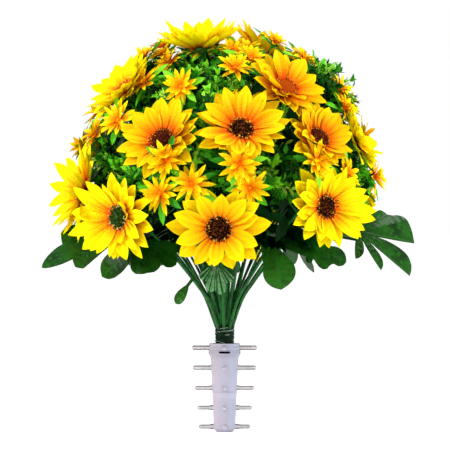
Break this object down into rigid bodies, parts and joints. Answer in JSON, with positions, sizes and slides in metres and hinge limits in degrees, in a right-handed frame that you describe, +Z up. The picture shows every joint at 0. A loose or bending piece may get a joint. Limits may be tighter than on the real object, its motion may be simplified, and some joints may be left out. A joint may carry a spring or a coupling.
{
  "type": "artificial sunflower bush on a pegged vase plug",
  "caption": "Domed artificial sunflower bush: wide yellow heads, daisies, sprays and glossy leaves on wired stems bound into a pegged plastic plug.",
  "frame": {"origin": "centre of the flat foot under the plug", "axes": "+Z up through the plug to the top of the bush, -Y is the front that the picture shows, +X is to the right as seen from the front"},
  "size_m": [0.4622, 0.4072, 0.518],
  "materials": {
    "plug": "milky lavender moulded plastic, satin",
    "binding": "dark green tape bound over wires",
    "petals": "printed petal cloth, yellow with an orange base",
    "sprays": "small moulded green leaves on thin twigs",
    "stems": "green plastic over wire",
    "leaves": "coated leaf cloth, glossy dark green"
  },
  "bodies": {
    "root": {"plug_foot": "plug", "plug": "plug", "neck": "binding", "head_front_low": "petals", "head_front_left": "petals", "head_far_left": "petals", "head_front_right": "petals", "head_mid_left": "petals", "head_centre": "petals", "head_upper_right": "petals", "head_top": "petals", "head_top_right": "petals", "head_upper_left": "petals", "head_mid_right": "petals", "head_far_right": "petals", "head_right_edge": "petals", "head_left_edge": "petals", "head_back_low": "petals", "head_back_left": "petals", "head_back_right": "petals", "head_back_mid_left": "petals", "head_back_mid_right": "petals", "head_back_upper": "petals", "foliage_front": "sprays", "foliage_front_right": "sprays", "foliage_front_left": "sprays", "foliage_left": "sprays", "foliage_right": "sprays", "foliage_upper_front": "sprays", "foliage_upper_left": "sprays", "foliage_upper_right": "sprays", "foliage_top": "sprays", "foliage_back_left": "sprays", "foliage_back": "sprays", "foliage_back_right": "sprays", "foliage_upper_back_right": "sprays", "foliage_upper_back_left": "sprays", "stem_front_low": "stems", "stem_front_left": "stems", "stem_left": "stems", "stem_back_left": "stems", "stem_back_low": "stems", "stem_back_right": "stems", "stem_right": "stems", "stem_right_low": "stems", "stem_front_right": "stems", "stem_inner_front": "stems", "stem_inner_right": "stems", "stem_inner_back": "stems", "stem_inner_left": "stems", "leaf_far_left": "leaves", "leaf_left": "leaves", "leaf_right": "leaves", "leaf_front_right": "leaves", "leaf_drooping": "leaves", "leaf_front_low": "leaves", "leaf_narrow": "leaves", "leaf_back_left": "leaves", "leaf_back": "leaves", "leaf_back_right": "leaves"}
  },
  "joints": []
}
